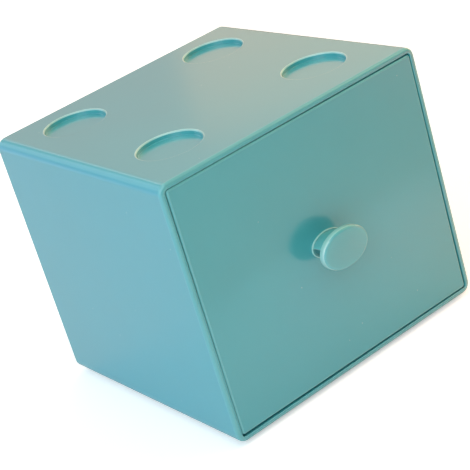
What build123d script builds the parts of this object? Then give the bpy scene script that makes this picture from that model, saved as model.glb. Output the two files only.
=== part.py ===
"""A small stacking storage box: a casing, one drawer that slides out, and the drawer's snap-in knob.

Sizes are in millimetres. +Z is up and the drawer opens towards -Y. The origin is the middle of the
four feet, on the surface they stand on.
"""

import os

from build123d import *

os.makedirs("parts", exist_ok=True)

# Casing
casing_width = 120.0
casing_height = 103.6
casing_depth = 112.7
wall = 2.2
side_draft = 1.5  # how far each side leans in between the front rim and the back
corner_radius = 4.0  # the four edges that run from front to back
opening_radius = 1.4
rim_round = 1.4
opening_round = 0.25
back_round = 0.7

# Stacking recesses in the roof, and the feet that stand in those of the box below
recess_inset_side = 25.4  # from the casing's side to the middle of a recess
recess_inset_front = 27.4
recess_inset_back = 21.9
recess_radius = 12.2
recess_depth = 2.0
recess_round = 0.4
recess_floor = 1.8  # what is left under a recess
band_margin = 2.0  # how far the thicker band of the roof reaches past a recess on each side
foot_clearance = 0.3  # around a foot in a recess
foot_lift = 0.3  # under a foot in a recess, so that boxes rest casing on casing
foot_round = 0.4

# Drawer
panel_thickness = 2.6
panel_gap = 0.5  # above and below the panel in the casing's opening
panel_side_gap = 0.3
panel_radius = 1.2
panel_round = 0.9
stop_gap = 0.4  # from the panel's back to the roof bands, which stop it
tray_wall = 1.8
tray_floor = 2.0
tray_drop = 9.0  # from the panel's top edge down to the tray's rim
tray_lift = 0.6  # from the panel's bottom edge up to the tray's underside
tray_side_gap = 0.7  # beside the tray where the casing is narrowest
tray_back_gap = 0.5
tray_radius = 4.0  # the tray's two back corners
tray_floor_round = 1.5  # around the tray's floor, inside
tray_base_round = 1.0  # around the tray's floor, outside
tray_rim_round = 0.5
rib_width = 3.0
rib_inset = 14.0  # from the tray's side to the middle of a runner rib
rib_end_gap = 6.0  # from a rib's back end to the tray's back
running_gap = 0.1  # under the runner ribs

# Knob
cap_half_width = 10.8
cap_half_height = 7.6
cap_thickness = 2.8
cap_dome = 0.4
cap_front_round = 1.2
cap_back_round = 0.8
neck_length = 7.7  # from the panel to the cap's back
neck_half_width = 7.4
neck_half_height = 4.7
neck_taper = 0.5
neck_wall = 0.8
window_rise = 1.2  # the neck is cut away from this far above its middle downwards
flange_reach = 0.3  # past the neck all round
flange_height = 0.6
flange_round = 0.25
leg_span = 7.0
leg_thickness = 1.4
leg_height = 3.6
leg_clearance = 0.15  # around the legs in the panel's slot
barb_gap = 0.1
barb_reach = 0.8
barb_length = 2.0
barb_tip = 0.4  # how far the barb's tip is drawn in from the leg's outer face

# Worked out from the above
recess_spacing_x = casing_width - 2 * recess_inset_side
recess_spacing_y = casing_depth - recess_inset_front - recess_inset_back
front_y = -(recess_inset_front + recess_spacing_y / 2)
back_y = front_y + casing_depth
foot_height = recess_depth - foot_lift
foot_radius = recess_radius - foot_clearance
base_z = foot_height
roof_z = base_z + casing_height
middle_z = base_z + casing_height / 2
opening_width = casing_width - 2 * wall
opening_height = casing_height - 2 * wall
cavity_back_y = back_y - wall
roof_inside_z = roof_z - wall
band_height = recess_depth + recess_floor - wall
panel_back_y = front_y + panel_thickness
panel_bottom_z = base_z + wall + panel_gap
panel_width = opening_width - 2 * panel_side_gap
panel_height = opening_height - 2 * panel_gap
band_front_y = panel_back_y + stop_gap
tray_width = opening_width - 2 * (side_draft + tray_side_gap)
tray_back_y = cavity_back_y - tray_back_gap
tray_bottom_z = panel_bottom_z + tray_lift
tray_height = panel_height - tray_drop - tray_lift
rib_height = panel_gap + tray_lift - running_gap
flange_half_width = neck_half_width + flange_reach
flange_half_height = neck_half_height + flange_reach
touching = 0.001  # how near a coordinate has to be to count as the same


def facing(y):
    """Upright plane at a depth, seen from the front: local x is +X and local y is +Z."""
    return Plane(origin=(0, y, middle_z), x_dir=(1, 0, 0), z_dir=(0, -1, 0))


def edges_at_depth(piece, y):
    """All edges of the piece that lie at one depth."""
    return piece.edges().filter_by_position(Axis.Y, y - touching, y + touching)


def edges_at_height(piece, z, from_y=front_y):
    """All edges of the piece at one height, behind a depth."""
    level = piece.edges().filter_by_position(Axis.Z, z - touching, z + touching)
    return level.filter_by_position(Axis.Y, from_y + touching, back_y)


# Casing: one moulding, open at the front
with BuildPart() as casing:
    with BuildSketch(facing(front_y)):
        RectangleRounded(casing_width, casing_height, corner_radius)
    with BuildSketch(facing(back_y)):
        RectangleRounded(casing_width - 2 * side_draft, casing_height, corner_radius)
    loft(ruled=True)
    fillet(edges_at_depth(casing, front_y), rim_round)
    fillet(edges_at_depth(casing, back_y), back_round)

    # The drawer's space
    with BuildSketch(facing(front_y)):
        RectangleRounded(opening_width, opening_height, opening_radius)
    with BuildSketch(facing(cavity_back_y)):
        RectangleRounded(opening_width - 2 * side_draft, opening_height, opening_radius)
    loft(ruled=True, mode=Mode.SUBTRACT)
    rim_face = casing.faces().sort_by(Axis.Y)[0]
    fillet(rim_face.inner_wires()[0].edges(), opening_round)

    # Bands from front to back that thicken the roof under the recesses
    with Locations((0, band_front_y, roof_inside_z)), GridLocations(recess_spacing_x, 0, 2, 1):
        Box(
            2 * (recess_radius + band_margin),
            cavity_back_y - band_front_y,
            band_height,
            align=(Align.CENTER, Align.MIN, Align.MAX),
        )

    # Recesses
    with BuildSketch(Plane.XY.offset(roof_z)):
        with GridLocations(recess_spacing_x, recess_spacing_y, 2, 2):
            Circle(recess_radius)
    extrude(amount=-recess_depth, mode=Mode.SUBTRACT)
    fillet(edges_at_height(casing, roof_z).filter_by(GeomType.CIRCLE), recess_round)

    # Feet
    with BuildSketch(Plane.XY):
        with GridLocations(recess_spacing_x, recess_spacing_y, 2, 2):
            Circle(foot_radius)
    extrude(amount=foot_height)
    fillet(edges_at_height(casing, 0), foot_round)

# Drawer: front panel and tray in one moulding
with BuildPart() as drawer:
    with BuildSketch(facing(front_y)):
        RectangleRounded(panel_width, panel_height, panel_radius)
    extrude(amount=-panel_thickness)
    fillet(edges_at_depth(drawer, front_y), panel_round)

    # Tray, whose front wall is the panel
    tray_length = tray_back_y - panel_back_y
    with BuildSketch(Plane((0, panel_back_y, tray_bottom_z))) as tray_outline:
        Rectangle(tray_width, tray_length, align=(Align.CENTER, Align.MIN))
        fillet(tray_outline.vertices().group_by(Axis.Y)[-1], tray_radius)
    extrude(amount=tray_height)
    fillet(edges_at_height(drawer, tray_bottom_z, panel_back_y), tray_base_round)

    # The hollow of the tray
    with BuildSketch(Plane((0, panel_back_y, tray_bottom_z + tray_floor))) as hollow_outline:
        Rectangle(tray_width - 2 * tray_wall, tray_length - tray_wall, align=(Align.CENTER, Align.MIN))
        fillet(hollow_outline.vertices().group_by(Axis.Y)[-1], tray_radius - tray_wall)
    extrude(amount=tray_height - tray_floor, mode=Mode.SUBTRACT)
    fillet(edges_at_height(drawer, tray_bottom_z + tray_floor), tray_floor_round)
    fillet(edges_at_height(drawer, tray_bottom_z + tray_height, panel_back_y), tray_rim_round)

    # Runner ribs under the tray
    with Locations((0, panel_back_y, tray_bottom_z)), GridLocations(tray_width - 2 * rib_inset, 0, 2, 1):
        Box(
            rib_width,
            tray_length - rib_end_gap,
            rib_height,
            align=(Align.CENTER, Align.MIN, Align.MAX),
        )

    # Slot for the knob's legs
    with Locations((0, front_y, middle_z)):
        Box(
            leg_span + 2 * leg_clearance,
            panel_thickness,
            leg_height + 2 * leg_clearance,
            align=(Align.CENTER, Align.MIN, Align.CENTER),
            mode=Mode.SUBTRACT,
        )

# Knob: an oval cap on a neck that is hollow and open from below, with two barbed legs
with BuildPart() as knob:
    cap_back_y = front_y - neck_length
    dome_y = cap_back_y - cap_thickness - cap_dome
    dome_radius = (cap_half_width**2 + cap_dome**2) / (2 * cap_dome)
    with BuildSketch(facing(cap_back_y)):
        Ellipse(cap_half_width, cap_half_height)
    extrude(amount=cap_thickness + cap_dome)
    with Locations((0, dome_y + dome_radius, middle_z)):
        Sphere(dome_radius, mode=Mode.INTERSECT)
    fillet(knob.faces().sort_by(Axis.Y)[0].edges(), cap_front_round)
    fillet(edges_at_depth(knob, cap_back_y), cap_back_round)

    # Flange and neck
    with BuildSketch(facing(front_y)):
        Ellipse(flange_half_width, flange_half_height)
    extrude(amount=flange_height)
    fillet(edges_at_depth(knob, front_y - flange_height), flange_round)
    with BuildSketch(facing(front_y)):
        Ellipse(neck_half_width, neck_half_height)
    with BuildSketch(facing(cap_back_y)):
        Ellipse(neck_half_width - neck_taper, neck_half_height - neck_taper)
    loft(ruled=True)

    # The neck's hollow, and the window that opens it from below down to a low ring
    with BuildSketch(facing(front_y)):
        Ellipse(neck_half_width - neck_wall, neck_half_height - neck_wall)
    with BuildSketch(facing(cap_back_y)):
        Ellipse(neck_half_width - neck_taper - neck_wall, neck_half_height - neck_taper - neck_wall)
    loft(ruled=True, mode=Mode.SUBTRACT)
    with Locations((0, front_y - flange_height, middle_z + window_rise)):
        Box(
            2 * flange_half_width,
            neck_length - flange_height,
            2 * flange_half_height,
            align=(Align.CENTER, Align.MAX, Align.MAX),
            mode=Mode.SUBTRACT,
        )

    # Legs from the cap through the neck and the panel's slot, with barbs that catch behind the panel
    leg_out = leg_span / 2
    leg_in = leg_out - leg_thickness
    root_y = cap_back_y - cap_thickness / 2
    barb_y = panel_back_y + barb_gap
    tip_y = barb_y + barb_length
    with BuildSketch(Plane.XY.offset(middle_z - leg_height / 2)):
        with BuildLine():
            Polyline(
                (leg_in, root_y),
                (leg_out, root_y),
                (leg_out, barb_y),
                (leg_out + barb_reach, barb_y),
                (leg_out - barb_tip, tip_y),
                (leg_in, tip_y),
                close=True,
            )
        make_face()
        mirror(about=Plane.YZ)
    extrude(amount=leg_height)

casing.part.label = "casing"
export_step(casing.part, "parts/casing.step")
drawer.part.label = "drawer"
export_step(drawer.part, "parts/drawer.step")
knob.part.label = "knob"
export_step(knob.part, "parts/knob.step")
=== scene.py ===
"""A small stacking storage box of moulded plastic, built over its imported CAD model.

The box is three mouldings in one teal ABS: a casing with stacking recesses in its roof, a drawer that
slides out of it, and the drawer's snap-in knob. The frame is the CAD model's: +Z is up, the drawer opens
towards -Y, and the origin is the middle of the four feet. The pieces are shaped in millimetres and set
down in metres; the camera, the lamps and the finishes are in metres throughout.
"""

import logging
import math
from collections.abc import Callable
from dataclasses import dataclass, field
from enum import Enum, IntEnum

import bmesh
import bpy
from mathutils import Matrix, Vector


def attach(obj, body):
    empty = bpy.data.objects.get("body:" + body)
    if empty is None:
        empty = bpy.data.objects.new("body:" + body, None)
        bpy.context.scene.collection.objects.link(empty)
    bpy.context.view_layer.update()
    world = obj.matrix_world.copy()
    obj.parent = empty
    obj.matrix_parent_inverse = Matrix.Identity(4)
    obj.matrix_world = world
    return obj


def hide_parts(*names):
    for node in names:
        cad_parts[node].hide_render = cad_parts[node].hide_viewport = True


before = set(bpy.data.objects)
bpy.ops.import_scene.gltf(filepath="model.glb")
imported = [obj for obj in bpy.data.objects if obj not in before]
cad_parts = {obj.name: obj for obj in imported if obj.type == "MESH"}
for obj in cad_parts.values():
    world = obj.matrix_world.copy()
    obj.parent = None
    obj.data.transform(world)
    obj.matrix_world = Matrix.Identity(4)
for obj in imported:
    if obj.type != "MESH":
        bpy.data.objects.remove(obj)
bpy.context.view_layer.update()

log = logging.getLogger("storage_box")

MM = 0.001  # metres
WELD = 0.0001  # millimetres between points that count as one
CREASE = math.radians(38)  # a sharper bend than this is a hard edge
ROUND_WIDTH = 0.42  # millimetres; a face narrower than this is part of a round...
ROUND_BEND = math.radians(4)  # ...where it bends outwards by more than this
AREA_WEIGHT = 100  # how strongly wide faces hold the shading of the rounds beside them

# The sRGB standard's own numbers
SRGB_KNEE = 0.04045
SRGB_SLOPE = 12.92
SRGB_OFFSET = 0.055
SRGB_POWER = 2.4

WHITE = (1.0, 1.0, 1.0, 1.0)

# Sockets of the colour mix node, which share their names with those for other kinds of value
MIX_SHARE = 0
MIX_FIRST = 6
MIX_SECOND = 7
MIX_COLOUR = 2


def linear(colour: str) -> tuple[float, float, float, float]:
    """Turn an sRGB hex colour into linear light.

    Args:
        colour: the colour as "#RRGGBB".

    Returns:
        Red, green, blue and an alpha of 1.
    """
    channels = [int(colour[i : i + 2], 16) / 255 for i in (1, 3, 5)]
    straight = [
        c / SRGB_SLOPE if c <= SRGB_KNEE else ((c + SRGB_OFFSET) / (1 + SRGB_OFFSET)) ** SRGB_POWER
        for c in channels
    ]
    return (straight[0], straight[1], straight[2], 1.0)


def direction(azimuth: float, elevation: float) -> Vector:
    """Point from the box to a place round it.

    Args:
        azimuth: degrees round the box from its front, to the right when positive.
        elevation: degrees above the table.

    Returns:
        The direction, of length 1.
    """
    turn, rise = math.radians(azimuth), math.radians(elevation)
    level = math.cos(rise)
    return Vector((math.sin(turn) * level, -math.cos(turn) * level, math.sin(rise)))


def add_node(
    tree: bpy.types.NodeTree,
    kind: str,
    settings: dict | None = None,
    values: dict | None = None,
    links: dict | None = None,
) -> bpy.types.Node:
    """Add one node with its settings, its plain input values and its incoming links.

    Args:
        tree: the node tree that gets the node.
        kind: the node's type name.
        settings: attributes of the node itself.
        values: plain values by input name or index.
        links: output sockets by input name or index.

    Returns:
        The new node.
    """
    node = tree.nodes.new(kind)
    for name, value in (settings or {}).items():
        setattr(node, name, value)
    for name, value in (values or {}).items():
        node.inputs[name].default_value = value
    for name, socket in (links or {}).items():
        tree.links.new(socket, node.inputs[name])
    return node


@dataclass(frozen=True)
class MouldedABS:
    """Pigmented ABS, injection moulded in a polished tool.

    To the eye it is one even, deep tone with a clear satin gloss lying over it, so that it looks paler
    wherever it mirrors the room and turns to a saturated cyan where it mirrors only itself.
    """

    name: str
    colour: str
    ior: float = 1.54
    roughness: float = 0.33
    roughness_swing: float = 0.03
    gloss: float = 1.0  # the skin that the polished tool leaves, over the duller inside
    gloss_roughness: float = 0.14
    gloss_ior: float = 1.62
    cloud_size: float = 26.0 * MM  # patches where the pigment cooled unevenly
    cloud_swing: float = 0.035
    cloud_detail: float = 2.0
    sag_size: float = 45.0 * MM
    sag_height: float = 0.12 * MM
    grain_size: float = 0.9 * MM  # the real grain is near 0.05 mm, too fine to show here
    grain_height: float = 0.004 * MM
    speck_colour: str = "#DDEBE6"
    speck_spacing: float = 8.0 * MM
    speck_radius: float = 0.26 * MM
    speck_core: float = 0.5  # the share of a speck's radius that is at full strength
    speck_cover: float = 0.5  # how much of the pigment the full strength hides
    glow: float = 0.0  # how much of its light it takes in and gives out again
    glow_depth: float = 3.0 * MM
    glow_reach: tuple[float, float, float] = (0.4, 1.0, 1.0)  # red light gets less deep into teal

    def material(self) -> bpy.types.Material:
        """Build the finish.

        Returns:
            The material.
        """
        made = bpy.data.materials.new(self.name)
        made.use_nodes = True
        tree = made.node_tree
        tree.nodes.clear()
        place = add_node(tree, "ShaderNodeTexCoord").outputs["Object"]
        shader = add_node(
            tree,
            "ShaderNodeBsdfPrincipled",
            values={
                "IOR": self.ior,
                "Coat Weight": self.gloss,
                "Coat Roughness": self.gloss_roughness,
                "Coat IOR": self.gloss_ior,
                "Subsurface Weight": self.glow,
                "Subsurface Radius": self.glow_reach,
                "Subsurface Scale": self.glow_depth,
            },
            links={
                "Base Color": self.tone(tree, place),
                "Roughness": self.satin(tree, place),
                "Normal": self.relief(tree, place),
            },
        )
        add_node(tree, "ShaderNodeOutputMaterial", links={"Surface": shader.outputs["BSDF"]})
        return made

    def noise(
        self, tree: bpy.types.NodeTree, place: bpy.types.NodeSocket, size: float
    ) -> bpy.types.NodeSocket:
        """Spread soft noise whose clouds are of one size.

        Args:
            tree: the finish's node tree.
            place: the object coordinates.
            size: the width of a cloud in metres.

        Returns:
            The noise from 0 to 1.
        """
        cloud = add_node(
            tree,
            "ShaderNodeTexNoise",
            values={"Scale": 1 / size, "Detail": self.cloud_detail},
            links={"Vector": place},
        )
        return cloud.outputs["Fac"]

    def tone(self, tree: bpy.types.NodeTree, place: bpy.types.NodeSocket) -> bpy.types.NodeSocket:
        """Mix the pigment, a little uneven as it cooled, and a few dust specks.

        Args:
            tree: the finish's node tree.
            place: the object coordinates.

        Returns:
            The colour.
        """
        red, green, blue, _ = linear(self.colour)
        deep, pale = 1 - self.cloud_swing, 1 + self.cloud_swing
        pigment = add_node(
            tree,
            "ShaderNodeMix",
            settings={"data_type": "RGBA"},
            values={
                MIX_FIRST: (red * deep, green * deep, blue * deep, 1.0),
                MIX_SECOND: (red * pale, green * pale, blue * pale, 1.0),
            },
            links={MIX_SHARE: self.noise(tree, place, self.cloud_size)},
        )
        cells = add_node(
            tree,
            "ShaderNodeTexVoronoi",
            values={"Scale": 1 / self.speck_spacing},
            links={"Vector": place},
        )
        reach = self.speck_radius / self.speck_spacing
        speck = add_node(
            tree,
            "ShaderNodeMapRange",
            values={"From Min": reach, "From Max": reach * self.speck_core, "To Max": self.speck_cover},
            links={"Value": cells.outputs["Distance"]},
        )
        dusted = add_node(
            tree,
            "ShaderNodeMix",
            settings={"data_type": "RGBA"},
            values={MIX_SECOND: linear(self.speck_colour)},
            links={MIX_SHARE: speck.outputs["Result"], MIX_FIRST: pigment.outputs[MIX_COLOUR]},
        )
        return dusted.outputs[MIX_COLOUR]

    def satin(self, tree: bpy.types.NodeTree, place: bpy.types.NodeSocket) -> bpy.types.NodeSocket:
        """Vary the gloss as the tool's polish varies.

        Args:
            tree: the finish's node tree.
            place: the object coordinates.

        Returns:
            The roughness.
        """
        rough = add_node(
            tree,
            "ShaderNodeMapRange",
            values={
                "To Min": self.roughness - self.roughness_swing,
                "To Max": self.roughness + self.roughness_swing,
            },
            links={"Value": self.noise(tree, place, self.cloud_size)},
        )
        return rough.outputs["Result"]

    def relief(self, tree: bpy.types.NodeTree, place: bpy.types.NodeSocket) -> bpy.types.NodeSocket:
        """Raise the fine grain over the wide, shallow sags of thin walls.

        Args:
            tree: the finish's node tree.
            place: the object coordinates.

        Returns:
            The shading normal.
        """
        sag = add_node(
            tree,
            "ShaderNodeBump",
            values={"Distance": self.sag_height},
            links={"Height": self.noise(tree, place, self.sag_size)},
        )
        grain = add_node(
            tree,
            "ShaderNodeBump",
            values={"Distance": self.grain_height},
            links={
                "Height": self.noise(tree, place, self.grain_size),
                "Normal": sag.outputs["Normal"],
            },
        )
        return grain.outputs["Normal"]


# Its colour comes from a fit to the photo that also solved for a set of lamps. One photo can't tell pigment
# from light, so in other light the real plastic may look different.
TEAL = MouldedABS(name="teal_moulded_abs", colour="#50B5BC")

# The knob is a small, thin-walled moulding of the same plastic. Its pigment is set paler than the wide
# faces' as painted light, for the brighter look of the lit cap; its shaded side glows instead of going
# dark, because light gets through it.
KNOB_TEAL = MouldedABS(name="thin_abs_knob_painted_paler", colour="#64B8B9", glow=0.9, glow_depth=6.0 * MM)

# The same plastic on the rounds of the rims, set a little paler than the faces on either side as a
# painted highlight: the light line that a rounded edge catches.
RIM_PAINTED_HIGHLIGHT = MouldedABS(name="abs_rim_painted_highlight", colour="#6CC0C2")

# The same plastic on the lips of the recesses, where the tool leaves it glossier, and set pale as a
# painted highlight: a fine pale line round each recess.
LIP_PAINTED_HIGHLIGHT = MouldedABS(name="abs_lip_painted_highlight", colour="#B8E6E0", roughness=0.28, gloss_roughness=0.12)

# The knob's edges, set pale as a painted highlight: a soft pale rim round the cap.
KNOB_EDGE_PAINTED_HIGHLIGHT = MouldedABS(name="abs_knob_edge_painted_highlight", colour="#A4DAD3", roughness=0.3)


class Merge(Enum):
    """How one closed mesh is worked into another."""

    JOIN = "UNION"
    CUT = "DIFFERENCE"


class Along(Enum):
    """The direction in which a row of rings is stacked."""

    DEPTH = "y"
    HEIGHT = "z"


class Dress(IntEnum):
    """The places of the finishes in a piece's list; rounds and lips get painted highlights."""

    FACES = 0
    ROUNDS = 1
    LIPS = 2


Outline = list[tuple[float, float]]


def rounded_outline(half_wide: float, half_high: float, radius: float, steps: int = 8) -> Outline:
    """Trace a rectangle with round corners, anticlockwise.

    Args:
        half_wide: half the width.
        half_high: half the height.
        radius: the corners' radius.
        steps: how many chords make a corner.

    Returns:
        The outline's points.
    """
    points = []
    for quarter, (side, level) in enumerate(((1, 1), (-1, 1), (-1, -1), (1, -1))):
        for step in range(steps + 1):
            angle = math.pi / 2 * (quarter + step / steps)
            across = side * (half_wide - radius) + radius * math.cos(angle)
            up = level * (half_high - radius) + radius * math.sin(angle)
            points.append((across, up))
    return points


def oval_outline(half_wide: float, half_high: float, steps: int = 96) -> Outline:
    """Trace an ellipse, anticlockwise.

    Args:
        half_wide: half the width.
        half_high: half the height.
        steps: how many chords make the ellipse.

    Returns:
        The outline's points.
    """
    turns = (math.tau * step / steps for step in range(steps))
    return [(half_wide * math.cos(turn), half_high * math.sin(turn)) for turn in turns]


def rounding(radius: float, steps: int = 6) -> list[tuple[float, float]]:
    """Step round an edge, from the face before it to the side after it.

    Args:
        radius: the round's radius.
        steps: how many chords make it.

    Returns:
        Pairs of how far in from the side and how far down from the face each step lies.
    """
    turns = [math.pi / 2 * step / steps for step in range(steps + 1)]
    return [(radius * (1 - math.sin(turn)), radius * (1 - math.cos(turn))) for turn in turns]


def ring(
    outline: Outline, level: float, along: Along, middle: tuple[float, float] = (0.0, 0.0)
) -> list[Vector]:
    """Set an outline at one depth or one height.

    Args:
        outline: the outline's points.
        level: the depth or height.
        along: which of the two it is.
        middle: where the outline's own origin goes.

    Returns:
        The ring's points.
    """
    first, second = middle
    if along is Along.DEPTH:
        return [Vector((first + a, level, second + b)) for a, b in outline]
    return [Vector((first + a, second + b, level)) for a, b in outline]


def skin(name: str, rings: list[list[Vector]]) -> bpy.types.Mesh:
    """Skin a row of rings of the same number of points, and close both ends.

    Args:
        name: the mesh's name.
        rings: the rings in their order.

    Returns:
        The closed mesh.
    """
    made = bmesh.new()
    loops = [[made.verts.new(point) for point in points] for points in rings]
    count = len(loops[0])
    for near, far in zip(loops, loops[1:]):
        for here in range(count):
            after = (here + 1) % count
            made.faces.new((near[here], near[after], far[after], far[here]))
    made.faces.new(loops[0])
    made.faces.new(loops[-1])
    bmesh.ops.remove_doubles(made, verts=made.verts, dist=WELD)
    bmesh.ops.dissolve_degenerate(made, edges=made.edges, dist=WELD)
    bmesh.ops.recalc_face_normals(made, faces=made.faces)
    mesh = bpy.data.meshes.new(name)
    made.to_mesh(mesh)
    made.free()
    return mesh


def merge(body: bpy.types.Mesh, tools: list[bpy.types.Mesh], how: Merge) -> bpy.types.Mesh:
    """Join closed meshes to a body, or cut them out of it, one after another.

    Args:
        body: the mesh that is worked on.
        tools: the meshes that are joined or cut out.
        how: which of the two is done.

    Returns:
        The new closed mesh.
    """
    scene = bpy.context.scene
    for tool in tools:
        base = bpy.data.objects.new("base", body)
        other = bpy.data.objects.new("other", tool)
        scene.collection.objects.link(base)
        scene.collection.objects.link(other)
        step = base.modifiers.new("merge", "BOOLEAN")
        step.operation = how.value
        step.solver = "EXACT"
        step.object = other
        merged = base.evaluated_get(bpy.context.evaluated_depsgraph_get())
        done = bpy.data.meshes.new_from_object(merged)
        bpy.data.objects.remove(base)
        bpy.data.objects.remove(other)
        bpy.data.meshes.remove(body)
        bpy.data.meshes.remove(tool)
        body = done
    return body


def dress_rounds(made: bmesh.types.BMesh, dress_of: Callable[[Vector], Dress]) -> int:
    """Give the narrow faces of outward rounds a paler finish of their own, as painted highlight.

    Args:
        made: the piece's mesh, in millimetres.
        dress_of: gives the finish for the middle of a face.

    Returns:
        How many faces were given one.
    """
    count = 0
    for face in made.faces:
        width = 2 * face.calc_area() / face.calc_perimeter()  # as it is for a long, narrow face
        bends = [edge.calc_face_angle_signed() for edge in face.edges if edge.is_manifold]
        if width < ROUND_WIDTH and max(bends) > ROUND_BEND and min(bends) > -ROUND_BEND:
            face.material_index = dress_of(face.calc_center_median())
            count += 1
    return count


def set_piece(
    name: str,
    mesh: bpy.types.Mesh,
    body: str,
    finishes: tuple[MouldedABS, ...],
    dress_of: Callable[[Vector], Dress] = lambda middle: Dress.ROUNDS,
) -> bpy.types.Object:
    """Turn a mesh in millimetres into a finished piece that stands for the CAD node of its name.

    Args:
        name: the CAD node that the piece stands for.
        mesh: the piece's closed mesh, in millimetres.
        body: the body that it moves with.
        finishes: the faces' finish first, then the paler ones that paint highlights on the rounds.
        dress_of: gives the finish of a round, by the middle of its face.

    Returns:
        The piece.
    """
    mesh.materials.clear()
    for finish in finishes:
        mesh.materials.append(bpy.data.materials.get(finish.name) or finish.material())
    made = bmesh.new()
    made.from_mesh(mesh)
    rounds = dress_rounds(made, dress_of)
    bmesh.ops.scale(made, vec=(MM, MM, MM), verts=made.verts)
    for face in made.faces:
        face.smooth = True
    for edge in made.edges:
        edge.smooth = len(edge.link_faces) == 2 and edge.calc_face_angle() < CREASE
    made.to_mesh(mesh)
    made.free()
    piece = bpy.data.objects.new(f"{name}_moulding", mesh)
    bpy.context.scene.collection.objects.link(piece)
    shading = piece.modifiers.new("flat_faces", "WEIGHTED_NORMAL")
    shading.keep_sharp = True
    shading.weight = AREA_WEIGHT
    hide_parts(name)
    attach(piece, body)
    log.info("%s: %d faces, %d of them on rounds", piece.name, len(mesh.polygons), rounds)
    return piece


@dataclass
class Casing:
    """The open-fronted case: one moulding with stacking recesses above and round feet below.

    Its sizes are in millimetres.
    """

    width: float = 120.0
    height: float = 103.6
    depth: float = 112.7
    front_y: float = -59.1
    base_z: float = 1.7
    wall: float = 2.2
    side_draft: float = 1.5  # how far each side leans in between the front and the back
    corner_radius: float = 4.0
    opening_radius: float = 1.4
    rim_round: float = 1.4
    opening_round: float = 0.25
    back_round: float = 0.7
    recess_spacing: tuple[float, float] = (69.2, 63.4)
    recess_radius: float = 12.2
    recess_depth: float = 2.0
    recess_round: float = 0.6  # a little more than the CAD model's, as worn
    recess_fillet: float = 0.2
    band_half_width: float = 14.2
    band_height: float = 1.6
    band_setback: float = 3.0  # from the front rim, so that the panel stops against the bands
    band_corner_steps: int = 2
    foot_radius: float = 11.9
    foot_round: float = 0.4
    overlap: float = 1.0  # how far joined shapes reach into each other
    finishes: tuple[MouldedABS, ...] = (TEAL, RIM_PAINTED_HIGHLIGHT, LIP_PAINTED_HIGHLIGHT)

    @property
    def middle_z(self) -> float:
        """Height of the case's middle."""
        return self.base_z + self.height / 2

    @property
    def roof_z(self) -> float:
        """Height of the roof."""
        return self.base_z + self.height

    @property
    def back_y(self) -> float:
        """Depth of the back."""
        return self.front_y + self.depth

    def outer(self, y: float, inset: float) -> list[Vector]:
        """Ring the outside at one depth, a little inside its face.

        Args:
            y: the depth.
            inset: how far inside.

        Returns:
            The ring.
        """
        lean = self.side_draft * (y - self.front_y) / self.depth
        outline = rounded_outline(
            self.width / 2 - lean - inset, self.height / 2 - inset, self.corner_radius - inset
        )
        return ring(outline, y, Along.DEPTH, (0.0, self.middle_z))

    def inner(self, y: float, grow: float) -> list[Vector]:
        """Ring the drawer's space at one depth, a little outside its face.

        Args:
            y: the depth.
            grow: how far outside.

        Returns:
            The ring.
        """
        lean = self.side_draft * (y - self.front_y) / (self.depth - self.wall)
        outline = rounded_outline(
            self.width / 2 - self.wall - lean + grow,
            self.height / 2 - self.wall + grow,
            self.opening_radius + grow,
        )
        return ring(outline, y, Along.DEPTH, (0.0, self.middle_z))

    def shell(self) -> bpy.types.Mesh:
        """Skin the case from its back, round the front rim and into the drawer's space.

        Returns:
            The closed mesh.
        """
        rim = reversed(rounding(self.rim_round))
        rings = [self.outer(self.back_y - down, inset) for inset, down in rounding(self.back_round)]
        rings += [self.outer(self.front_y + down, inset) for inset, down in rim]
        rings += [self.inner(self.front_y + down, grow) for grow, down in rounding(self.opening_round)]
        rings.append(self.inner(self.back_y - self.wall, 0.0))
        return skin("shell", rings)

    def places(self) -> list[tuple[float, float]]:
        """Give the middles of the four recesses and feet."""
        across, along = self.recess_spacing
        return [(side * across / 2, end * along / 2) for side in (-1, 1) for end in (-1, 1)]

    def turned(
        self, profile: list[tuple[float, float]], middle: tuple[float, float]
    ) -> bpy.types.Mesh:
        """Turn a profile of radius and height pairs about an upright axis.

        Args:
            profile: the pairs, from one end to the other.
            middle: where the axis stands.

        Returns:
            The closed mesh.
        """
        circles = [(oval_outline(radius, radius), z) for radius, z in profile]
        return skin("turned", [ring(circle, z, Along.HEIGHT, middle) for circle, z in circles])

    def recess(self, middle: tuple[float, float]) -> bpy.types.Mesh:
        """Shape what is cut for one recess, with a filleted floor and a rounded lip.

        Args:
            middle: the recess's middle, seen from above.

        Returns:
            The closed mesh.
        """
        radius = self.recess_radius
        floor_z = self.roof_z - self.recess_depth
        lip = reversed(rounding(self.recess_round))
        profile = [(radius - inset, floor_z + down) for inset, down in rounding(self.recess_fillet)]
        profile += [(radius + grow, self.roof_z - down) for grow, down in lip]
        profile.append((radius + self.recess_round, self.roof_z + self.overlap))
        return self.turned(profile, middle)

    def foot(self, middle: tuple[float, float]) -> bpy.types.Mesh:
        """Shape one round foot.

        Args:
            middle: the foot's middle, seen from above.

        Returns:
            The closed mesh.
        """
        profile = [(self.foot_radius - inset, down) for inset, down in rounding(self.foot_round)]
        profile.append((self.foot_radius, self.base_z + self.overlap))
        return self.turned(profile, middle)

    def band(self, side: int) -> bpy.types.Mesh:
        """Shape the thicker band of the roof under one row of recesses.

        Args:
            side: -1 for the left row and 1 for the right.

        Returns:
            The closed mesh.
        """
        inside_z = self.roof_z - self.wall
        half_high = (self.band_height + self.overlap) / 2
        outline = rounded_outline(
            self.band_half_width, half_high, self.opening_round, self.band_corner_steps
        )
        middle = (side * self.recess_spacing[0] / 2, inside_z - self.band_height + half_high)
        front = ring(outline, self.front_y + self.band_setback, Along.DEPTH, middle)
        back = ring(outline, self.back_y - self.wall + self.overlap, Along.DEPTH, middle)
        return skin("band", [front, back])

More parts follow.
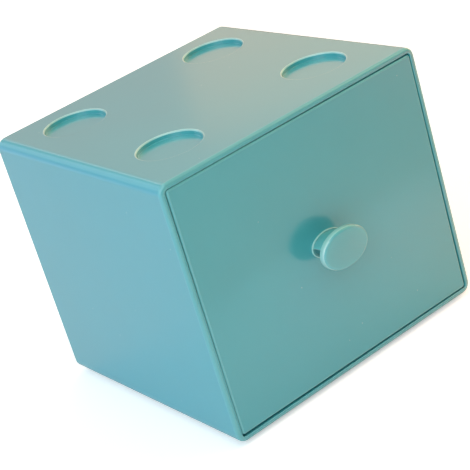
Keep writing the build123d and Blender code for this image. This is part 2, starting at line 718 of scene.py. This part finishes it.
    def dress_of(self, middle: Vector) -> Dress:
        """Tell the lips of the recesses from all other rounds.

        Args:
            middle: the middle of a round's face.

        Returns:
            Its finish.
        """
        reach = self.recess_radius + 2 * self.recess_round
        near = any(math.hypot(middle.x - x, middle.y - y) < reach for x, y in self.places())
        return Dress.LIPS if near and middle.z > self.roof_z - self.recess_depth else Dress.ROUNDS

    def build(self) -> bpy.types.Object:
        """Build and dress the casing.

        Returns:
            The piece.
        """
        mesh = merge(self.shell(), [self.band(side) for side in (-1, 1)], Merge.JOIN)
        mesh = merge(mesh, [self.foot(place) for place in self.places()], Merge.JOIN)
        mesh = merge(mesh, [self.recess(place) for place in self.places()], Merge.CUT)
        return set_piece("casing", mesh, "casing", self.finishes, self.dress_of)


@dataclass
class Fit:
    """How the drawer really sits in its clearance: turned a little clockwise, and lifted."""

    turn: float = 0.22  # degrees
    lift: float = 0.09  # millimetres
    middle_z: float = 53.5  # millimetres; the height about which it turns

    def settle(self, mesh: bpy.types.Mesh) -> bpy.types.Mesh:
        """Turn and lift a mesh as the drawer sits.

        Args:
            mesh: the mesh, in millimetres.

        Returns:
            The same mesh.
        """
        middle = Matrix.Translation((0.0, 0.0, self.middle_z))
        turn = Matrix.Rotation(math.radians(self.turn), 4, "Y")
        lift = Matrix.Translation((0.0, 0.0, self.lift))
        mesh.transform(lift @ middle @ turn @ middle.inverted())
        return mesh


@dataclass
class Drawer:
    """The drawer: a tray and its front panel in one moulding, with two runner ribs below.

    Its sizes are in millimetres.
    """

    front_y: float = -59.1
    middle_z: float = 53.5
    panel_half_width: float = 57.5
    panel_half_height: float = 49.1
    panel_thickness: float = 2.6
    panel_radius: float = 1.2
    panel_round: float = 0.9
    panel_corner_steps: int = 5
    tray_half_width: float = 55.6
    tray_back_y: float = 50.9
    tray_bottom_z: float = 5.0
    tray_rim_z: float = 93.6
    tray_wall: float = 1.8
    tray_floor: float = 2.0
    tray_radius: float = 4.0
    floor_round: float = 1.5
    base_round: float = 1.0
    rim_round: float = 0.5
    rib_half_width: float = 1.5
    rib_inset: float = 14.0
    rib_end_gap: float = 6.0
    rib_height: float = 1.0
    rib_corner_steps: int = 4
    slot_half: tuple[float, float] = (3.65, 1.95)  # half the knob slot's width and height
    overlap: float = 1.0  # how far joined shapes reach into each other
    fit: Fit = field(default_factory=Fit)
    finishes: tuple[MouldedABS, ...] = (TEAL, RIM_PAINTED_HIGHLIGHT)

    @property
    def panel_back_y(self) -> float:
        """Depth of the panel's back."""
        return self.front_y + self.panel_thickness

    def panel(self) -> bpy.types.Mesh:
        """Skin the front panel, rounded round its front edge.

        Returns:
            The closed mesh.
        """
        rings = []
        for inset, down in rounding(self.panel_round):
            outline = rounded_outline(
                self.panel_half_width - inset,
                self.panel_half_height - inset,
                self.panel_radius - inset,
                self.panel_corner_steps,
            )
            rings.append(ring(outline, self.front_y + down, Along.DEPTH, (0.0, self.middle_z)))
        rings.append([Vector((point.x, self.panel_back_y, point.z)) for point in rings[-1]])
        return skin("panel", rings)

    def plan(self, half_wide: float, front: float, back: float, radius: float) -> Outline:
        """Trace the tray from above: square at the panel, round at the back.

        Args:
            half_wide: half the width.
            front: where it starts at the panel.
            back: where it ends.
            radius: the back corners' radius.

        Returns:
            The outline's points.
        """
        round_back = rounded_outline(half_wide, radius, radius)
        half = len(round_back) // 2
        points = [(across, back - radius + up) for across, up in round_back[:half]]
        return [*points, (-half_wide, front), (half_wide, front)]

    def tray(self) -> bpy.types.Mesh:
        """Skin the tray's outside as a block, rounded round its base and rim.

        Returns:
            The closed mesh.
        """
        start = self.panel_back_y - self.overlap
        rim = reversed(rounding(self.rim_round))
        levels = [(inset, self.tray_bottom_z + down) for inset, down in rounding(self.base_round)]
        levels += [(inset, self.tray_rim_z - down) for inset, down in rim]
        rings = [
            ring(
                self.plan(
                    self.tray_half_width - inset,
                    start,
                    self.tray_back_y - inset,
                    self.tray_radius - inset,
                ),
                z,
                Along.HEIGHT,
            )
            for inset, z in levels
        ]
        return skin("tray", rings)

    def hollow(self) -> bpy.types.Mesh:
        """Shape what is cut for the tray's inside, rounded at the floor and at the rim.

        Returns:
            The closed mesh.
        """
        floor_z = self.tray_bottom_z + self.tray_floor
        rim = reversed(rounding(self.rim_round))
        levels = [(inset, inset, floor_z + down) for inset, down in rounding(self.floor_round)]
        levels += [(-grow, 0.0, self.tray_rim_z - down) for grow, down in rim]
        levels.append((-self.rim_round, 0.0, self.tray_rim_z + self.overlap))
        rings = [
            ring(
                self.plan(
                    self.tray_half_width - self.tray_wall - inset,
                    self.panel_back_y + start,
                    self.tray_back_y - self.tray_wall - inset,
                    self.tray_radius - self.tray_wall - inset,
                ),
                z,
                Along.HEIGHT,
            )
            for inset, start, z in levels
        ]
        return skin("hollow", rings)

    def rib(self, side: int) -> bpy.types.Mesh:
        """Shape one runner rib.

        Args:
            side: -1 for the left rib and 1 for the right.

        Returns:
            The closed mesh.
        """
        half_high = (self.rib_height + self.overlap) / 2
        outline = rounded_outline(
            self.rib_half_width, half_high, self.rim_round, self.rib_corner_steps
        )
        middle = (
            side * (self.tray_half_width - self.rib_inset),
            self.tray_bottom_z - self.rib_height + half_high,
        )
        front = ring(outline, self.panel_back_y - self.overlap, Along.DEPTH, middle)
        back = ring(outline, self.tray_back_y - self.rib_end_gap, Along.DEPTH, middle)
        return skin("rib", [front, back])

    def slot(self) -> bpy.types.Mesh:
        """Shape what is cut for the knob's legs.

        Returns:
            The closed mesh.
        """
        wide, high = self.slot_half
        outline = [(wide, high), (-wide, high), (-wide, -high), (wide, -high)]
        front = ring(outline, self.front_y - self.overlap, Along.DEPTH, (0.0, self.middle_z))
        back = ring(outline, self.panel_back_y + self.overlap, Along.DEPTH, (0.0, self.middle_z))
        return skin("slot", [front, back])

    def build(self) -> bpy.types.Object:
        """Build and dress the drawer.

        Returns:
            The piece.
        """
        mesh = merge(self.panel(), [self.tray()], Merge.JOIN)
        mesh = merge(mesh, [self.hollow(), self.slot()], Merge.CUT)
        mesh = merge(mesh, [self.rib(side) for side in (-1, 1)], Merge.JOIN)
        return set_piece("drawer", self.fit.settle(mesh), "drawer", self.finishes)


@dataclass
class Knob:
    """The knob: an oval cap on a neck that is open from below, with two barbed legs behind.

    Its sizes are in millimetres.
    """

    front_y: float = -59.1
    middle_z: float = 53.5
    cap_half_width: float = 10.8
    cap_half_height: float = 7.6
    cap_thickness: float = 2.8
    cap_dome: float = 0.4
    dome_shares: tuple[float, ...] = (0.8, 0.55, 0.3, 0.05)  # where rings lie between edge and middle
    front_round: float = 1.2
    front_round_steps: int = 8
    back_round: float = 0.8
    edge_start: float = 0.3  # how far behind the dome's outline the painted highlight on the edge begins
    neck_length: float = 7.7
    neck_half_width: float = 7.4
    neck_half_height: float = 4.7
    neck_taper: float = 0.5
    neck_wall: float = 0.8
    window_rise: float = 1.2  # the neck is cut away from this far above its middle downwards
    flange_reach: float = 0.3
    flange_height: float = 0.6
    flange_round: float = 0.25
    flange_round_steps: int = 4
    leg_out: float = 3.5
    leg_thickness: float = 1.4
    leg_half_height: float = 1.8
    barb_y: float = -56.4
    barb_reach: float = 0.8
    barb_length: float = 2.0
    barb_tip: float = 0.4  # how far the barb's tip is drawn in from the leg's outer face
    overlap: float = 1.0  # how far joined shapes reach into each other
    fit: Fit = field(default_factory=Fit)
    finishes: tuple[MouldedABS, ...] = (KNOB_TEAL, KNOB_EDGE_PAINTED_HIGHLIGHT)

    @property
    def cap_back_y(self) -> float:
        """Depth of the cap's back."""
        return self.front_y - self.neck_length

    def oval(self, inset: float, y: float) -> list[Vector]:
        """Ring the cap at one depth, inside its widest outline."""
        outline = oval_outline(self.cap_half_width - inset, self.cap_half_height - inset)
        return ring(outline, y, Along.DEPTH, (0.0, self.middle_z))

    def neck_ring(self, grow: float, y: float) -> list[Vector]:
        """Ring the neck at one depth, grown or shrunk by a distance.

        Args:
            grow: the distance, less than nothing to shrink.
            y: the depth.

        Returns:
            The ring.
        """
        change = grow - self.neck_taper * (self.front_y - y) / self.neck_length
        outline = oval_outline(self.neck_half_width + change, self.neck_half_height + change)
        return ring(outline, y, Along.DEPTH, (0.0, self.middle_z))

    def cap(self) -> bpy.types.Mesh:
        """Skin the cap from its back, round its edge and over the dome.

        Returns:
            The closed mesh.
        """
        top_y = self.cap_back_y - self.cap_thickness - self.cap_dome
        dome_radius = (self.cap_half_width**2 + self.cap_dome**2) / (2 * self.cap_dome)
        rings = [self.oval(inset, self.cap_back_y - down) for inset, down in rounding(self.back_round)]
        for inset, down in reversed(rounding(self.front_round, self.front_round_steps)):
            rings.append(self.on_dome(self.oval(inset, top_y + down), dome_radius))
        for share in self.dome_shares:
            flat = oval_outline(
                share * (self.cap_half_width - self.front_round),
                share * (self.cap_half_height - self.front_round),
            )
            level = ring(flat, top_y, Along.DEPTH, (0.0, self.middle_z))
            rings.append(self.on_dome(level, dome_radius))
        return skin("cap", rings)

    def on_dome(self, points: list[Vector], radius: float) -> list[Vector]:
        """Lower a ring's points as the dome falls away from its middle.

        Args:
            points: the ring's points.
            radius: the dome's radius.

        Returns:
            The lowered points.
        """
        drops = [(point.x**2 + (point.z - self.middle_z) ** 2) / (2 * radius) for point in points]
        return [point + Vector((0.0, drop, 0.0)) for point, drop in zip(points, drops)]

    def neck(self) -> bpy.types.Mesh:
        """Skin the neck's outside."""
        ends = (self.front_y, self.cap_back_y - self.overlap)
        return skin("neck", [self.neck_ring(0.0, y) for y in ends])

    def flange(self) -> bpy.types.Mesh:
        """Skin the low ring round the neck's foot.

        Returns:
            The closed mesh.
        """
        top_y = self.front_y - self.flange_height
        half_wide = self.neck_half_width + self.flange_reach
        half_high = self.neck_half_height + self.flange_reach
        steps = rounding(self.flange_round, self.flange_round_steps)
        levels = [*((inset, top_y + down) for inset, down in steps), (0.0, self.front_y)]
        ovals = [(oval_outline(half_wide - inset, half_high - inset), y) for inset, y in levels]
        return skin("flange", [ring(oval, y, Along.DEPTH, (0.0, self.middle_z)) for oval, y in ovals])

    def hollow(self) -> bpy.types.Mesh:
        """Shape what is cut for the neck's inside."""
        ends = (self.front_y + self.overlap, self.cap_back_y)
        return skin("hollow", [self.neck_ring(-self.neck_wall, y) for y in ends])

    def window(self) -> bpy.types.Mesh:
        """Shape what is cut to open the neck from below, between the flange and the cap.

        Returns:
            The closed mesh.
        """
        wide = self.neck_half_width + self.overlap
        low = -self.neck_half_height - self.overlap
        outline = [(wide, self.window_rise), (-wide, self.window_rise), (-wide, low), (wide, low)]
        ends = (self.front_y - self.flange_height, self.cap_back_y)
        return skin("window", [ring(outline, y, Along.DEPTH, (0.0, self.middle_z)) for y in ends])

    def leg(self, side: int) -> bpy.types.Mesh:
        """Shape one barbed leg.

        Args:
            side: -1 for the left leg and 1 for the right.

        Returns:
            The closed mesh.
        """
        inside = self.leg_out - self.leg_thickness
        root_y = self.cap_back_y - self.cap_thickness / 2
        tip_y = self.barb_y + self.barb_length
        plan = [
            (inside, root_y),
            (self.leg_out, root_y),
            (self.leg_out, self.barb_y),
            (self.leg_out + self.barb_reach, self.barb_y),
            (self.leg_out - self.barb_tip, tip_y),
            (inside, tip_y),
        ]
        outline = [(side * across, y) for across, y in plan]
        ends = (self.middle_z - self.leg_half_height, self.middle_z + self.leg_half_height)
        return skin("leg", [ring(outline, z, Along.HEIGHT) for z in ends])

    def dress_of(self, middle: Vector) -> Dress:
        """Tell the edges from the narrow faces of the dome, which count as faces.

        Args:
            middle: the middle of a round's face.

        Returns:
            Its finish.
        """
        dome_edge = self.cap_back_y - self.cap_thickness
        return Dress.ROUNDS if middle.y > dome_edge + self.edge_start else Dress.FACES

    def build(self) -> bpy.types.Object:
        """Build and dress the knob.

        Returns:
            The piece.
        """
        mesh = merge(self.cap(), [self.neck(), self.flange()], Merge.JOIN)
        mesh = merge(mesh, [self.hollow(), self.window()], Merge.CUT)
        mesh = merge(mesh, [self.leg(side) for side in (-1, 1)], Merge.JOIN)
        return set_piece("knob", self.fit.settle(mesh), "drawer", self.finishes, self.dress_of)


@dataclass(frozen=True)
class PhotoCamera:
    """The photograph's camera, fitted to the edges of the box.

    Its angles are in degrees, and its lens and sensor in millimetres of film.
    """

    azimuth: float = -31.465
    elevation: float = 23.826
    roll: float = -17.073
    distance: float = 623.28 * MM
    target: tuple[float, float, float] = (-2.90 * MM, -4.22 * MM, 47.13 * MM)
    lens: float = 123.054
    sensor: float = 36.0

    def build(self) -> bpy.types.Object:
        """Make the camera and give it to the scene.

        Returns:
            The camera object.
        """
        back = direction(self.azimuth, self.elevation)
        data = bpy.data.cameras.new("photo_camera")
        data.lens = self.lens
        data.sensor_width = self.sensor
        camera = bpy.data.objects.new("photo_camera", data)
        level = (-back).to_track_quat("-Z", "Y").to_matrix().to_4x4()
        tilt = Matrix.Rotation(math.radians(self.roll), 4, "Z")
        place = Matrix.Translation(Vector(self.target) + back * self.distance)
        camera.matrix_world = place @ level @ tilt
        bpy.context.scene.collection.objects.link(camera)
        bpy.context.scene.camera = camera
        return camera


@dataclass(frozen=True)
class SoftPanel:
    """A soft lamp that faces one point of the scene, and that the camera doesn't see."""

    name: str
    azimuth: float  # degrees round the point from the box's front, to the right when positive
    elevation: float  # degrees
    distance: float  # metres from the point
    size: tuple[float, float]  # metres
    radiance: float  # watts for each square metre and steradian
    colour: str
    aim: tuple[float, float, float] = (0.0, 0.0, 0.06)  # the point, in metres

    def build(self) -> bpy.types.Object:
        """Make the lamp.

        Returns:
            The lamp object.
        """
        away = direction(self.azimuth, self.elevation)
        data = bpy.data.lights.new(self.name, "AREA")
        data.shape = "RECTANGLE"
        data.size, data.size_y = self.size
        data.energy = self.radiance * math.pi * self.size[0] * self.size[1]
        data.color = linear(self.colour)[:3]
        lamp = bpy.data.objects.new(self.name, data)
        lamp.location = Vector(self.aim) + away * self.distance
        lamp.rotation_mode = "QUATERNION"
        lamp.rotation_quaternion = (-away).to_track_quat("-Z", "Y")
        lamp.visible_camera = False
        bpy.context.scene.collection.objects.link(lamp)
        return lamp


# Cool light comes from the left, and warmer light from behind and from the right. The lights that were
# round the real box aren't known: the lamps' places and sizes are chosen by hand, and their strengths and
# colours come from another program, which fitted them to the photo by least squares, and are rounded. So
# the tinted lamps close to the box stand for nothing that is known to have been there.
LAMPS = (
    SoftPanel("daylight_left_front", -60, 25, 1.1, (0.7, 0.7), 2.06, "#EDFAFF"),
    SoftPanel("daylight_left_wide", -95, 20, 1.1, (0.9, 0.9), 0.77, "#C9EAFF"),
    SoftPanel("daylight_left_high", -95, 50, 1.1, (0.7, 0.7), 0.73, "#D8F4FF"),
    SoftPanel("daylight_left_back", -150, 30, 1.1, (0.6, 0.6), 1.1, "#E0F0FF"),
    SoftPanel("low_left_back", -150, 8, 0.5, (0.5, 0.3), 0.9, "#CDDAFF", (-0.1, 0.15, 0.0)),
    SoftPanel("low_left", -100, 6, 0.3, (0.25, 0.1), 1.6, "#3C84FF", (-0.1, 0.0, 0.02)),
    SoftPanel("low_front_left", -40, 5, 0.25, (0.2, 0.09), 0.9, "#84D6FF", (-0.05, -0.1, 0.02)),
    SoftPanel("window_back", 148, 26, 1.1, (1.0, 0.7), 0.64, "#FFD8D4"),
    SoftPanel("window_back_left", -178, 36, 1.1, (0.5, 0.5), 0.54, "#DEF8FF"),
    SoftPanel("window_back_high", 150, 52, 1.1, (0.8, 0.5), 0.97, "#FFF2E3"),
    SoftPanel("window_back_low", 130, 15, 1.1, (0.7, 0.35), 0.42, "#FFBD60"),
    SoftPanel("room_back_right", 105, 28, 1.1, (0.8, 0.7), 0.83, "#FFEAC4"),
    SoftPanel("room_right", 95, 15, 1.1, (0.8, 0.5), 1.53, "#FFDF9C"),
    SoftPanel("room_right_high", 50, 50, 1.1, (0.6, 0.6), 0.63, "#FFF1C1"),
    SoftPanel("ceiling", 0, 85, 1.2, (0.9, 0.9), 1.0, "#F7FFFC"),
    SoftPanel("near_front_high", -25, 45, 0.4, (0.25, 0.25), 1.57, "#F5FFFD"),
    SoftPanel("near_right_high", 60, 40, 0.38, (0.25, 0.25), 1.0, "#FFE5A0"),
    SoftPanel("near_right_low", 52, 4, 0.27, (0.2, 0.09), 1.15, "#FF4830", (0.06, -0.06, 0.03)),
    SoftPanel("table_front_right", 0, 89, 0.05, (0.07, 0.09), 1.15, "#FF6A34", (0.1, -0.115, 0.0)),
    SoftPanel("table_front", 0, 89, 0.06, (0.12, 0.05), 0.55, "#FFB6C4", (0.0, -0.095, 0.0)),
)


@dataclass(frozen=True)
class Studio:
    """A pale table under the fitted lamps: cool light from the left, warmer from the right and behind."""

    table_size: float = 4.0  # metres
    table_colour: str = "#F2F2F0"
    table_roughness: float = 0.9
    table_shine: float = 0.2
    table_white: float = 0.5  # lifts the table towards paper white, and lights nothing
    room_colour: str = "#E6EEEC"
    room_light: float = 0.069  # fitted with the lamps
    backdrop: float = 1.0  # how bright the camera sees the room behind the table
    lamps: tuple[SoftPanel, ...] = LAMPS

    def table_material(self) -> bpy.types.Material:
        """Build matt white paper, which the camera sees overexposed as in a cut-out picture.

        Returns:
            The material.
        """
        made = bpy.data.materials.new("matt_white_paper")
        made.use_nodes = True
        tree = made.node_tree
        tree.nodes.clear()
        seen = add_node(tree, "ShaderNodeLightPath").outputs["Is Camera Ray"]
        lift = add_node(
            tree, "ShaderNodeMapRange", values={"To Max": self.table_white}, links={"Value": seen}
        )
        shader = add_node(
            tree,
            "ShaderNodeBsdfPrincipled",
            values={
                "Base Color": linear(self.table_colour),
                "Roughness": self.table_roughness,
                "Specular IOR Level": self.table_shine,
                "Emission Color": WHITE,
            },
            links={"Emission Strength": lift.outputs["Result"]},
        )
        add_node(tree, "ShaderNodeOutputMaterial", links={"Surface": shader.outputs["BSDF"]})
        return made

    def table(self) -> None:
        """Lay the table."""
        half = self.table_size / 2
        mesh = bpy.data.meshes.new("table")
        corners = [(-half, -half, 0), (half, -half, 0), (half, half, 0), (-half, half, 0)]
        mesh.from_pydata(corners, [], [(0, 1, 2, 3)])
        mesh.materials.append(self.table_material())
        table = bpy.data.objects.new("table", mesh)
        bpy.context.scene.collection.objects.link(table)

    def room(self) -> None:
        """Make the dim room, which the camera alone sees as a pale backdrop."""
        world = bpy.data.worlds.new("dim_room")
        world.use_nodes = True
        tree = world.node_tree
        seen = add_node(tree, "ShaderNodeLightPath").outputs["Is Camera Ray"]
        strength = add_node(
            tree,
            "ShaderNodeMapRange",
            values={"To Min": self.room_light, "To Max": self.backdrop},
            links={"Value": seen},
        )
        sky = tree.nodes["Background"]
        sky.inputs["Color"].default_value = linear(self.room_colour)
        tree.links.new(strength.outputs["Result"], sky.inputs["Strength"])
        bpy.context.scene.world = world

    def build(self) -> None:
        """Make the table, the room and the lamps."""
        self.table()
        self.room()
        for lamp in self.lamps:
            lamp.build()
        log.info("studio: %d lamps", len(self.lamps))


def main() -> None:
    """Set the studio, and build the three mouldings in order."""
    logging.basicConfig(level=logging.INFO, format="%(message)s")
    bpy.context.scene.view_settings.view_transform = "Standard"  # colours as a photograph stores them
    PhotoCamera().build()
    Studio().build()
    for moulding in (Casing(), Drawer(), Knob()):
        moulding.build()


if __name__ == "__main__":
    main()
